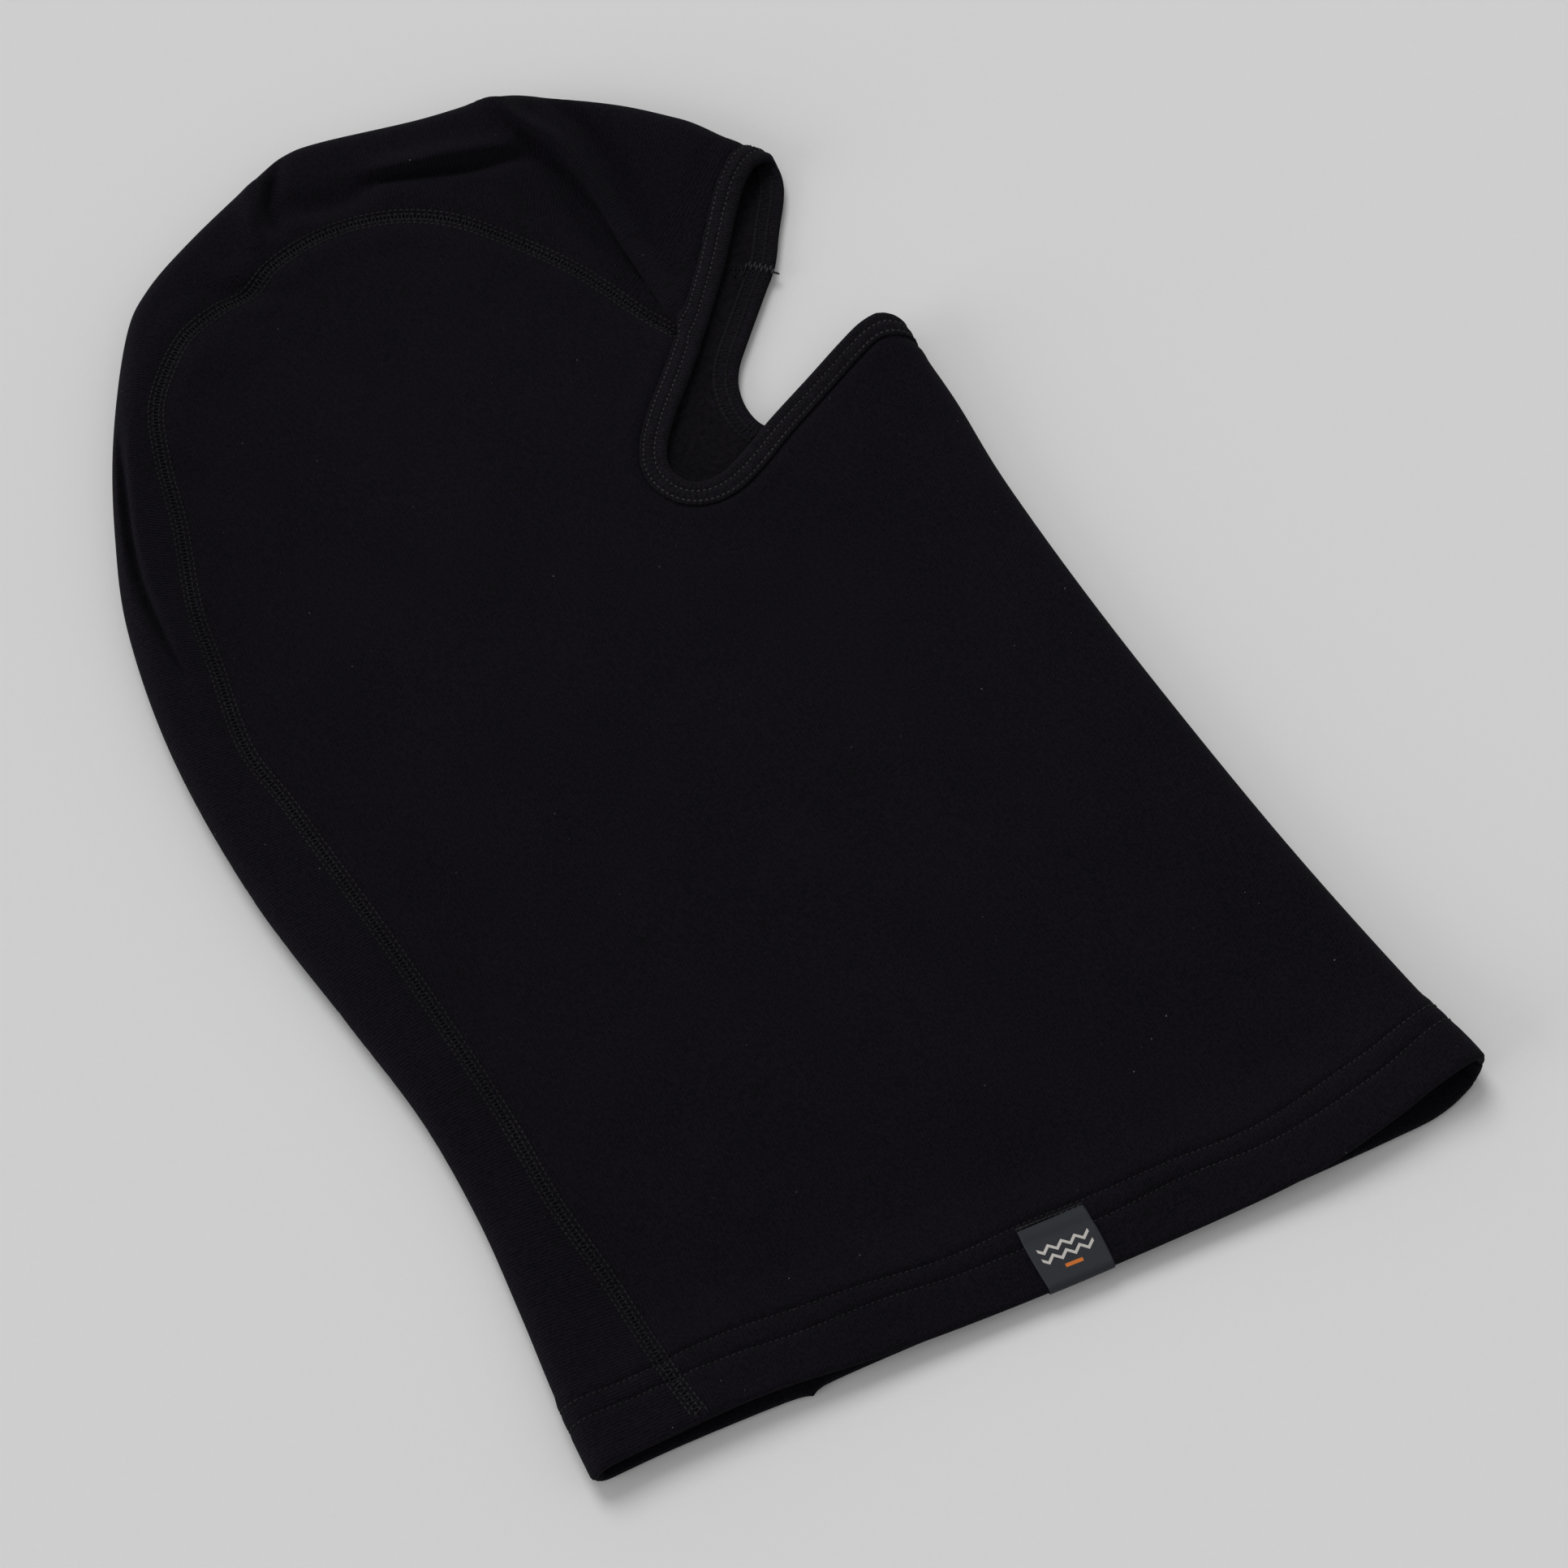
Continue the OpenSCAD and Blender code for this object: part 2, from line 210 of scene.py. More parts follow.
class Fold(Guide):
    """A fold of the garment. inward is 1 when the cloth lies on the left of its direction."""

    def __init__(self, points, inward, extra):
        line = curve(points, 1.0)
        plan = line[:, :2]
        outer = beside(plan, -inward * REACH)
        run = tangents(outer)[-1] * np.arange(1, extra)[:, None]
        self.own = len(outer)
        self.values = np.concatenate([line[:, 2], np.full(len(run), line[-1, 2])])
        super().__init__(np.vstack([outer, outer[-1] + run]))
        self.inward = inward

    def place(self, xy):
        side, at, past, foot, tangent = self.locate(xy)
        depth = side * self.inward
        height = np.interp(at * (len(self.line) - 1), np.arange(len(self.line)), self.values)
        normal = left_of(tangent) * self.inward
        return depth, height, foot, normal, past


def snapped(line, start, end):
    line = line.copy()
    line[0] = start
    line[-1] = end
    return line


back_fold = Fold(BACK_FOLD, -1, 30)
front_fold = Fold(FRONT_FOLD, 1, 30)
BROW_END = back_fold.line[back_fold.own - 1]
CHIN_END = front_fold.line[front_fold.own - 1]
seam = {side: Guide(curve(SEAM[side], 1.0)) for side in SEAM}
opening = {side: Guide(snapped(curve(OPENING[side], 0.8), BROW_END, CHIN_END)) for side in OPENING}
hem = {side: curve(HEM_LINE[side], 2.0) for side in HEM_LINE}


def hem_y(side, x):
    return np.interp(x, hem[side][:, 0], hem[side][:, 1])


def row_y(side, x, row):
    """The height of a hem stitch row: a line that wanders a little."""
    wander = 0.5 * np.sin(x / 14.0 + 1.3 * row) + 0.35 * np.sin(x / 7.3 + 0.4 * side)
    return hem_y(side, x) + row + wander


# ---- the shape of the cloth
class Crease:
    """A crease or a raised fold in the upper cloth. A leaning one hangs over to its right."""

    def __init__(self, points, width, lift, lean=0.0):
        self.guide = Guide(curve(points, 1.0))
        self.width = width
        self.lift = lift
        self.lean = lean

    def shape(self, xy):
        """The change of height, and the sideways push in plan."""
        line = self.guide.line
        margin = 4 * self.width
        near = ((xy > line.min(axis=0) - margin) & (xy < line.max(axis=0) + margin)).all(axis=1)
        side, at, past, _, tangent = self.guide.locate(xy[near])
        ends = np.sin(math.pi * np.clip(at, 0, 1)) ** 0.75
        form = ends * bump(past, self.width) * bump(side, self.width)
        height = np.zeros(len(xy))
        push = np.zeros((len(xy), 2))
        height[near] = self.lift * form
        push[near] = -left_of(tangent) * (self.lean * form)[:, None]
        return height, push


CREASES = [Crease(*row) for row in [
    # the long dark crease over the seam, with the soft swelling above it
    ([(-20, 192.5), (-5, 190), (4, 187.5), (16, 184), (26, 182), (38, 178)], 2.3, -4.0, -1.2),
    ([(-16, 196), (5, 192.5), (18, 189.5), (33, 185.5)], 2.6, 2.8, 2.6),
    ([(-44, 194), (-28, 190), (-12, 189)], 4.2, -2.6),
    # the short dimple further back
    ([(-36, 211), (-41, 203), (-45, 196), (-48, 185)], 2.2, -4.2, 1.0),
    ([(-46, 209), (-50, 200), (-53.5, 192), (-55, 183)], 3.0, 2.6, -1.2),
    # the diagonal fold that runs down to the binding, with a valley on each side
    ([(22, 211), (32, 200), (38, 190), (44.5, 180), (48, 168), (49.5, 156), (49.5, 140),
      (50.5, 122), (51.5, 108), (52, 96)], 2.3, 5.0, 3.4),
    ([(33, 188), (40, 171), (42.5, 155), (43.5, 140), (45.5, 124), (49.5, 101)], 3.4, -6.4, -1.6),
    ([(44, 198), (54, 181), (56.5, 162), (57, 142), (57, 122)], 3.4, -4.0),
    # the hollow beside the binding under the brow
    ([(87, 160), (79, 149), (66, 133), (56, 119)], 4.4, -3.0),
    # the tuck down the back: a rolled lip that ends in a slit
    ([(-117, 141), (-123, 122), (-127.5, 106), (-130.4, 92), (-131.2, 82), (-131.4, 73),
      (-131.2, 64), (-130.2, 54)], 1.3, -5.4),
    ([(-112, 144), (-118.5, 122), (-123.2, 105), (-126.2, 88), (-126.8, 74), (-126.4, 57)],
     2.4, 2.6, 1.6),
    # puckers along the seam at the back of the head
    ([(-80, 179), (-70, 174), (-58, 170), (-48, 164)], 4.0, -1.8),
    ([(-92, 150), (-78, 155), (-64, 152)], 7.0, 1.2),
    ([(-112, 128), (-104, 120), (-98, 104)], 5.0, -1.0),
]]
SWELLS = [((-40, 150), (80, 50), 2.2), ((10, 186), (60, 24), 2.2), ((-60, 60), (60, 90), 0.8),
          ((60, -20), (50, 60), 0.9), ((40, -150), (60, 40), 0.7), ((-40, -100), (50, 70), 0.5),
          ((66, 160), (15, 30), -1.6), ((80, 52), (40, 26), 2.8), ((-88, -216), (42, 24), 4.6),
          ((118, -212), (34, 22), 4.2)]
INNER_HEIGHT = 3.6        # height of the upper cloth's face over that of the lower, before swells
HEM_STACK = 2.4           # extra height of the upper cloth over the turned-up plies
HEM_SWELL = {UPPER: 0.5, LOWER: 0.0}
OPENING_RISE = 1.1        # rise of the lower cloth off the table, which leaves room for its binding
OPENING_SPREAD = 11.0


def swell_height(xy):
    total = np.full(len(xy), INNER_HEIGHT)
    for centre, spread, lift in SWELLS:
        total += lift * np.exp(-(((xy - centre) / spread) ** 2).sum(axis=1))
    for across, along, phase in [(31, 47, 0.3), (-23, 61, 1.9), (53, -29, 4.1)]:
        total += 0.28 * np.sin(xy[:, 0] / across + xy[:, 1] / along + phase)
    low = xy[:, 1] - hem_y(UPPER, xy[:, 0])
    return total + HEM_STACK * (1 - smoothstep(low, 20, 36))


def wrapped(side, xy):
    """Places unrolled plan points of one side on the laid garment: the cloth's outer face."""
    folds = [(back_fold, 21.0), (front_fold, 19.0)]
    if side == UPPER:
        shapes = [c.shape(xy) for c in CREASES]
        creases = sum(height for height, _ in shapes)
        push = sum(push for _, push in shapes)
        inner = np.maximum(swell_height(xy) + creases, 2 * CLOTH_T + 0.1)
    else:
        edge, _, past, _, _ = opening[LOWER].locate(xy)
        push = 0.0
        inner = creases = OPENING_RISE * bump(np.hypot(edge, past), OPENING_SPREAD)
    share = np.zeros(len(xy))
    loops = np.zeros(len(xy))
    found = []
    for fold, spread in folds:
        depth, height, foot, normal, past = fold.place(xy)
        depth = np.where(past > 0, np.hypot(depth, past) + QUARTER, depth)
        decay = np.exp(-(np.clip(depth - QUARTER, 0, None) / spread) ** 1.5)
        share += decay
        loops += decay * (creases + (2 * height if side == UPPER else 0.0))
        found.append((depth, height, foot, normal))
    share = np.clip(share, 0, 1)
    z = REST + inner * (1 - share) + loops
    plan = xy + push
    for depth, height, foot, normal in found:
        bent = depth < QUARTER
        angle = np.clip(depth / FOLD_R, -math.pi / 2, math.pi / 2)
        inset = REACH + FOLD_R * (1 - np.cos(angle))
        plan[bent] = (foot + normal * inset[:, None])[bent]
        level = REST + height * (1 + side * np.sin(angle)) + creases * np.clip(np.sin(angle), 0, 1)
        z[bent] = level[bent]
    return np.column_stack([plan, z])


class Field:
    """One side of the laid cloth, worked out once on a fine grid and read between its points."""

    LOW = np.array([-158.0, -230.0])
    HIGH = np.array([160.0, 232.0])
    PITCH = 1.0

    def __init__(self, side):
        self.count = np.ceil((self.HIGH - self.LOW) / self.PITCH).astype(int) + 1
        xs = self.LOW[0] + np.arange(self.count[0]) * self.PITCH
        ys = self.LOW[1] + np.arange(self.count[1]) * self.PITCH
        xy = np.column_stack([a.ravel() for a in np.meshgrid(xs, ys)])
        shape = (self.count[1], self.count[0], -1)
        place = wrapped(side, xy).reshape(shape)
        along, across = np.gradient(place, axis=(0, 1))
        normal = np.cross(across, along) * side
        normal /= np.maximum(np.linalg.norm(normal, axis=2), 1e-9)[:, :, None]
        layers = [place, normal]
        for guide in (seam[side], opening[side]):
            offset, _, past, _, _ = guide.locate(xy)
            layers.append(np.column_stack([offset, past]).reshape(shape))
        self.grid = np.concatenate(layers, axis=2)

    def read(self, xy):
        at = (np.asarray(xy, float) - self.LOW) / self.PITCH
        cell = np.clip(np.floor(at).astype(int), 1, self.count - 3)
        t = np.clip(at - cell, 0, 1)[:, :, None]
        weight = np.concatenate([-t + 2 * t ** 2 - t ** 3, 2 - 5 * t ** 2 + 3 * t ** 3,
                                 t + 4 * t ** 2 - 3 * t ** 3, -t ** 2 + t ** 3], axis=2) / 2
        total = 0
        for i in range(4):
            for j in range(4):
                value = self.grid[cell[:, 1] + j - 1, cell[:, 0] + i - 1]
                total = total + value * (weight[:, 0, i] * weight[:, 1, j])[:, None]
        total[:, 3:6] /= np.linalg.norm(total[:, 3:6], axis=1)[:, None]
        return total


field = {side: Field(side) for side in (UPPER, LOWER)}


def sewn_relief(side, xy, data):
    """Small relief along seams, binding and hem rows, outwards from the cloth."""
    seam_d = np.hypot(data[:, 6], data[:, 7])
    edge_d = np.hypot(data[:, 8], data[:, 9])
    low = xy[:, 1] - hem_y(side, xy[:, 0])
    relief = -0.6 * bump(seam_d, 2.3) + 0.6 * bump(seam_d - 6.5, 3.6)
    relief += -0.5 * bump(edge_d - BINDING_W - 0.2, 0.8) + 0.45 * bump(edge_d - BINDING_W - 3.4, 2.6)
    relief += HEM_SWELL[side] * (1 - smoothstep(low, 20.5, 25))
    flat = smoothstep(xy[:, 0], -124, -100) * (1 - smoothstep(xy[:, 0], 122, 142))
    for row in ROWS:
        relief += -(0.25 + 0.55 * flat) * bump(xy[:, 1] - row_y(side, xy[:, 0], row), 0.85)
    relief += 0.3 * flat * bump(xy[:, 1] - row_y(side, xy[:, 0], sum(ROWS) / 2), 2.0)
    return relief if side == UPPER else np.minimum(relief, 0.0)


def cloth(side, xy, lift=0.0, relief=True):
    """Any point of a side's cloth, its turned-up hem included, raised outwards by lift.

    Gives the places and the outward directions."""
    xy = np.asarray(xy, float)
    edge = hem_y(side, xy[:, 0])
    below = np.clip(edge - xy[:, 1], 0, None)
    up = np.clip(below - HEM_ARC, 0, None)
    base_xy = np.column_stack([xy[:, 0], np.where(below > 0, edge + up, xy[:, 1])])
    data = field[side].read(base_xy)
    normal = data[:, 3:6]
    swell = np.full(len(xy), HEM_SWELL[side])
    if relief:
        swell = np.where(below > 0, swell, sewn_relief(side, base_xy, data))
    base = data[:, :3] + normal * swell[:, None]
    angle = np.clip(below / HEM_R, 0, math.pi)[:, None]
    down = np.array([0, -1.0, 0])
    place = base + down * HEM_R * np.sin(angle) - normal * HEM_R * (1 - np.cos(angle))
    outward = normal * np.cos(angle) + down * np.sin(angle)
    return place + outward * np.reshape(lift, (-1, 1)), outward


# ---- cutting and meshing the cloth
GRID_PITCH = {UPPER: 2.1, LOWER: 3.0}  # spacing of the vertices away from any detail
WELD_GAP = 0.12           # vertices of the two sides nearer than this are one


def near_hem(line):
    """Heights and x places of a line's part near the hem, in order of height."""
    low = line[line[:, 1] < NEAR_HEM]
    low = low[np.argsort(low[:, 1])]
    return low[:, 1], low[:, 0]


def carried_down(line, edge):
    """A line cut off at the hem edge and carried on, mirrored, down the turned-up ply."""
    kept = line[line[:, 1] > edge + 0.4]
    down = np.arange(0, HEM_ARC + TURN_UP + 0.5, 1.0)
    mirrored = np.interp(edge + np.clip(down - HEM_ARC, 0, None), *near_hem(line))
    return np.vstack([kept, np.column_stack([mirrored, edge - down])])


def fold_edge(fold, side):
    """A fold line from the opening down to the hem, and on down its turned-up ply."""
    own = fold.line[:fold.own][::-1]
    x_hem = np.interp(HEM_MIDDLE, *near_hem(own))
    return carried_down(own, hem_y(side, x_hem))


def seam_edge(side):
    """A seam from the opening down to the end of the turned-up ply."""
    own = seam[side].line[::-1]
    return carried_down(own, hem_y(side, own[-1, 0]))


def seam_meeting(side):
    """Number of the point of the opening's edge where the seam meets it."""
    return int(np.argmin(np.linalg.norm(opening[side].line - seam[side].line[-1], axis=1)))


def bottom_edge(side, left, right):
    """The raw end of the turned-up ply between two edges."""
    xs = np.linspace(left[0], right[0], max(3, int(abs(right[0] - left[0]) / 2)))
    return np.column_stack([xs, hem_y(side, xs) - HEM_ARC - TURN_UP])[1:-1]


def piece_outline(side, is_crown):
    """The outline of one side of a panel, unrolled."""
    cut = seam_meeting(side)
    crown_part, front_part = opening[side].line[:cut + 1], opening[side].line[cut:]
    sewn = seam_edge(side)
    sewn[0] = front_part[0]
    if is_crown:
        fold = fold_edge(back_fold, side)
        fold[0] = crown_part[0]
        loop = [fold, bottom_edge(side, fold[-1], sewn[-1]), sewn[::-1][:-1], crown_part[::-1][:-1]]
    else:
        fold = fold_edge(front_fold, side)
        fold[0] = front_part[-1]
        loop = [sewn, bottom_edge(side, sewn[-1], fold[-1]), fold[::-1][:-1], front_part[::-1][1:-1]]
    return np.vstack(loop)


def thinned(groups):
    """Joins groups of plan points, dropping those nearer than a group's gap to an earlier point."""
    cell = 0.25
    low = Field.LOW - 30
    count = ((Field.HIGH + 30 - low) / cell).astype(int)
    kept = groups[0][0]
    for points, gap in groups[1:]:
        reach = int(gap / cell)
        disc = [(i, j) for i in range(-reach, reach + 1) for j in range(-reach, reach + 1)
                if (i * i + j * j) * cell * cell <= gap * gap]
        taken = np.zeros(count, bool)
        at = ((kept - low) / cell).astype(int)
        for i, j in disc:
            taken[at[:, 0] + i, at[:, 1] + j] = True
        spot = ((points - low) / cell).astype(int)
        kept = np.vstack([kept, points[~taken[spot[:, 0], spot[:, 1]]]])
    return kept


def hex_grid(low, high, pitch):
    rows = np.arange(low[1], high[1], pitch * math.sqrt(3) / 2)
    cols = np.arange(low[0], high[0], pitch)
    return np.vstack([np.column_stack([cols + (k % 2) * pitch / 2, np.full(len(cols), y)])
                      for k, y in enumerate(rows)])


def detail_points(side, outline, pitch):
    """Points for a piece: dense along folds, rows, seams and edges, a wide grid between them."""
    low, high = outline.min(axis=0), outline.max(axis=0)
    xs = np.arange(low[0], high[0], 1.9)
    rows = [hem_y(side, xs) - d for d in (0.5, 1.1, 1.7, 2.3, 2.9, 3.5, 4.2)]
    rows += [hem_y(side, xs) + d for d in (0, 0.8, 2.0)]
    rows += [row_y(side, xs, row) + d for row in ROWS for d in (-1.7, -1.0, -0.45, 0, 0.45, 1.0, 1.7)]
    rows = np.vstack([np.column_stack([xs, ys]) for ys in rows])
    folds = [beside(f.line[::2], f.inward * d) for f in (back_fold, front_fold)
             for d in np.arange(0.9, 10, 1.0)]
    seams = [beside(seam[side].line[::2], s * d) for d in (1.2, 2.4, 3.8) for s in (-1, 1)]
    edges = [beside(opening[side].line[::2], s * d) for d in (1.5, 6.6, 7.4, 8.0, 8.6, 9.4, 10.6)
             for s in (-1, 1)]
    creases = [beside(c.guide.line, k * 0.42 * c.width)
               for c in CREASES if c.width < 4 for k in range(-4, 5)]
    groups = [(outline, 0.0), (rows, 0.35), (np.vstack(folds), 0.75), (np.vstack(edges), 0.5),
              (np.vstack(seams), 0.9), (hex_grid(low, high, pitch), 0.6 * pitch)]
    if side == UPPER:
        groups.insert(5, (np.vstack(creases), 0.75))
    near = [groups[0]]
    for points, gap in groups[1:]:
        held = ((points > low + 0.2) & (points < high - 0.2)).all(axis=1)
        near.append((points[held], gap))
    return thinned(near)


def used_only(faces):
    """The numbers of the vertices in use, and the triangles renumbered to match."""
    used, faces = np.unique(faces, return_inverse=True)
    return used, faces.reshape(-1, 3)


def triangulated(side, outline, pitch):
    points = [Vector(p) for p in detail_points(side, outline, pitch)]
    ring = list(range(len(outline)))
    verts, _, faces, _, _, _ = geometry.delaunay_2d_cdt(points, [], [ring], 1, 1e-5)
    verts = np.array([tuple(v) for v in verts])
    faces = np.array([tuple(f) for f in faces])
    used, faces = used_only(faces)
    return verts[used], faces


def knit_grain(xy, is_crown):
    """The way of the knit: plan x and y, or along and across the strip of the crown."""
    if is_crown:
        depth, at, _, _, _ = back_fold.locate(xy)
        xy = np.column_stack([at * len(back_fold.line), depth])
    return np.column_stack([xy, np.zeros(len(xy))])


def added(name, data):
    obj = bpy.data.objects.new(name, data)
    bpy.context.collection.objects.link(obj)
    return obj


def new_mesh(name, verts, faces, materials, grain=None):
    mesh = bpy.data.meshes.new(name)
    mesh.from_pydata((np.asarray(verts) * MM).tolist(), [], faces)
    mesh.update()
    mesh.polygons.foreach_set("use_smooth", [True] * len(mesh.polygons))
    if grain is not None:
        layer = mesh.attributes.new("grain", "FLOAT_VECTOR", "POINT")
        layer.data.foreach_set("vector", np.asarray(grain, np.float32).ravel())
    obj = added(name, mesh)
    for material in materials:
        mesh.materials.append(material)
    return obj


def weld(verts, faces, grain):
    """Joins the pairs of vertices, one from each side, that meet along a fold."""
    edges = np.sort(np.vstack([faces[:, (0, 1)], faces[:, (1, 2)], faces[:, (2, 0)]]), axis=1)
    pairs, uses = np.unique(edges, axis=0, return_counts=True)
    border = np.unique(pairs[uses == 1])
    tree = kdtree.KDTree(len(border))
    for i in border:
        tree.insert(verts[i], int(i))
    tree.balance()
    remap = np.arange(len(verts))
    for i in border:
        remap[i] = min(j for _, j, _ in tree.find_range(verts[i], WELD_GAP))
    faces = remap[faces]
    whole = (faces != np.roll(faces, -1, axis=1)).all(axis=1)
    used, faces = used_only(faces[whole])
    return verts[used], faces, grain[used]


def thickened(obj, thickness):
    shell = obj.modifiers.new("cloth thickness", "SOLIDIFY")
    shell.thickness = thickness * MM
    shell.offset = -1
    shell.material_offset = 1
    return obj


def panel(name, is_crown, materials):
    """One whole panel: its side on top, its side below, and the fold that joins them."""
    verts, faces, grain = [], [], []
    count = 0
    for side in (UPPER, LOWER):
        plan, tri = triangulated(side, piece_outline(side, is_crown), GRID_PITCH[side])
        a, b, c = (plan[tri[:, k]] for k in range(3))
        turn = ((b - a)[:, 0] * (c - a)[:, 1] - (b - a)[:, 1] * (c - a)[:, 0]).sum()
        if (turn > 0) != (side == UPPER):
            tri = tri[:, ::-1]
        verts.append(cloth(side, plan)[0])
        grain.append(knit_grain(plan, is_crown))
        faces.append(tri + count)
        count += len(plan)
    verts, faces, grain = weld(*map(np.vstack, (verts, faces, grain)))
    return thickened(new_mesh(name, verts, faces.tolist(), materials, grain), CLOTH_T)


# ---- threads
def ring_faces(start, after, sides):
    """The faces between two rings of vertices that start at these numbers."""
    return [(start + j, start + (j + 1) % sides, after + (j + 1) % sides, after + j)
            for j in range(sides)]


def beads(name, places, forwards, ups, length, radius, materials):
    """A row of sewn stitches: short rounded lengths of thread whose ends dip into the cloth."""
    sides = 7
    turn = np.arange(sides) * 2 * math.pi / sides
    along = np.array([-1.0, -0.82, -0.4, 0.0, 0.4, 0.82, 1.0])
    fat = np.array([0.3, 0.75, 1.0, 1.06, 1.0, 0.75, 0.3])
    forwards = unit(forwards)
    sideways = unit(np.cross(ups, forwards))
    verts = []
    for t, f in zip(along, fat):
        centre = places + forwards * (t * length / 2) - ups * (STITCH_DIP * radius * t * t)
        for a in turn:
            across, height = radius * f * math.cos(a), radius * f * math.sin(a)
            verts.append(centre + sideways * across + ups * height)
    verts = np.stack(verts, axis=1).reshape(-1, 3)
    size = len(along) * sides
    faces = [face for k in range(0, size - sides, sides) for face in ring_faces(k, k + sides, sides)]
    caps = [tuple(range(sides))[::-1], tuple(range(size - sides, size))]
    every = [tuple(v + n * size for v in f) for n in range(len(places)) for f in faces + caps]
    return new_mesh(name, verts, every, materials)


def paced(path, ups, pitch, start=0.5):
    """Evenly spaced places along a path, with the way forward and the way up at each."""
    at = lengths(path)
    goal = np.arange(start * pitch, at[-1] - 0.3 * pitch, pitch)
    forward = read_at(goal, at, np.gradient(path, axis=0))
    return read_at(goal, at, path), forward, unit(read_at(goal, at, ups))


NO_PATH_WAY = (0.13, 0.21, 0.97)  # a direction that no thread follows


def tube(path, radius, sides=5):
    """Vertices and faces of a thread along a path."""
    forward = tangents(path)
    side = unit(np.cross(forward, NO_PATH_WAY))
    up = np.cross(side, forward)
    turn = np.arange(sides) * 2 * math.pi / sides
    across = np.cos(turn)[None, :, None] * side[:, None] + np.sin(turn)[None, :, None] * up[:, None]
    verts = (path[:, None] + radius * across).reshape(-1, 3)
    last = (len(path) - 1) * sides
    faces = [face for k in range(0, last, sides) for face in ring_faces(k, k + sides, sides)]
    faces += [tuple(range(sides))[::-1], tuple(range(last, last + sides))]
    return verts, faces


def stitched(name, rows, length, radius, material):
    """Rows of stitches as one piece. Each row is a path, its ups and its start in stitches."""
    places = [paced(path, ups, STITCH, start) for path, ups, start in rows]
    return beads(name, *(np.vstack(part) for part in zip(*places)), length, radius, [material])


def zigzag_row(count):
    """Crosswise share, from -1 to 1, of a zigzag with that many strokes."""
    t = np.arange(count * 3 + 1) / 3
    return t / count, np.clip(1.25 * (4 * np.abs((t / 2) % 1 - 0.5) - 1), -1, 1)


def joined(name, parts, materials):
    verts, faces, count = [], [], 0
    for v, f in parts:
        verts.append(v)
        faces += [tuple(k + count for k in face) for face in f]
        count += len(v)
    return new_mesh(name, np.vstack(verts), faces, materials)


# ---- flat seams
def seam_run(side, offset, lift):
    """A path beside the seam on the cloth, from the hem edge to the binding."""
    line = resample(beside(seam[side].line, offset), 0.5)
    keep = line[:, 1] > hem_y(side, line[:, 0]) + 0.6
    edge = field[side].read(line)
    clear = np.abs(edge[:, 8]) > BINDING_W - 1.2
    line = line[keep & (clear | (np.abs(edge[:, 9]) > 1))]
    return cloth(side, line, lift)


def needle_threads(name, side, material):
    """The four rows of straight stitches of a flat seam."""
    starts = {-2.15: 0.3, -0.85: 0.6, 0.85: 0.3, 2.15: 0.6}
    rows = [(*seam_run(side, offset, 0.12), start) for offset, start in starts.items()]
    return stitched(name, rows, 1.35, 0.27, material)


def seam_zigzag(name, side, material, lift, radius, pitch):
    """The thread that crosses between the needle rows, on the face or inside."""
    middle, up = seam_run(side, 0.0, lift)
    path = crossing_path(middle, up if lift > 0 else -up, SEAM_W / 2 - 0.15, pitch)
    return joined(name, [tube(path, radius)], [material])


# ---- binding of the face opening
def binding_stations():
    """Stations round the whole opening: side, place in plan, way into the cloth."""
    stations = []
    for side in (UPPER, LOWER):
        line = resample(opening[side].line, BINDING_STEP)
        inward = -left_of(tangents(line))
        at = lengths(line)
        for fold, gap in ((back_fold, at), (front_fold, at[-1] - at)):
            near = bump(gap, 6.0)[:, None]
            inward = inward * (1 - near) - fold.tangent[fold.own - 1] * near
        rows = np.column_stack([np.full(len(line), side), line, unit(inward)])
        stations.append(rows[::side][:-1])
    return np.vstack(stations)


def closed_stations():
    stations = binding_stations()
    return np.vstack([stations, stations[:1]])


def binding_profile():
    """The folded strip cut across: distance in from the opening's edge, height over the cloth."""
    row_a, row_b = BINDING_ROWS
    rolled_edge = [(0.0, -0.65), (0.12, -0.1), (0.45, 0.42), (1.0, 0.86), (1.8, 1.02), (2.6, 0.88)]
    face = [(row_a - 0.35, 0.64), (row_a, 0.42), (row_a + 0.35, 0.64), (4.4, 0.92), (5.0, 0.98),
            (5.6, 0.9), (row_b - 0.35, 0.64), (row_b, 0.46), (row_b + 0.3, 0.62), (7.65, 0.74),
            (8.0, 0.6), (BINDING_W, 0.3)]
    against_the_cloth = [(BINDING_W, 0.0), (4.0, 0.05), (1.0, 0.0), (0.75, -0.65), (1.0, -1.3),
                         (4.0, -1.35), (7.8, -1.3)]
    inner_face = [(7.8, -1.75), (row_b, -1.85), (4.7, -2.2), (row_a, -1.9), (1.7, -2.25),
                  (0.7, -1.9), (0.2, -1.25)]
    return rolled_edge + face + against_the_cloth + inner_face


def on_binding(stations, u, n):
    """Places on the binding, u in from the edge and n over the cloth, and their outward ways."""
    spot = np.empty((len(stations), 3))
    up = np.empty((len(stations), 3))
    plan = stations[:, 1:3] + stations[:, 3:5] * np.reshape(u, (-1, 1))
    for side in (UPPER, LOWER):
        here = stations[:, 0] == side
        data = field[side].read(plan[here])
        spot[here] = data[:, :3]
        up[here] = data[:, 3:6]
    for _ in range(2):
        up = (np.roll(up, 1, axis=0) + up + np.roll(up, -1, axis=0)) / 3
        spot = (np.roll(spot, 1, axis=0) + 2 * spot + np.roll(spot, -1, axis=0)) / 4
    up = unit(up)
    return spot + up * np.reshape(n, (-1, 1)), up


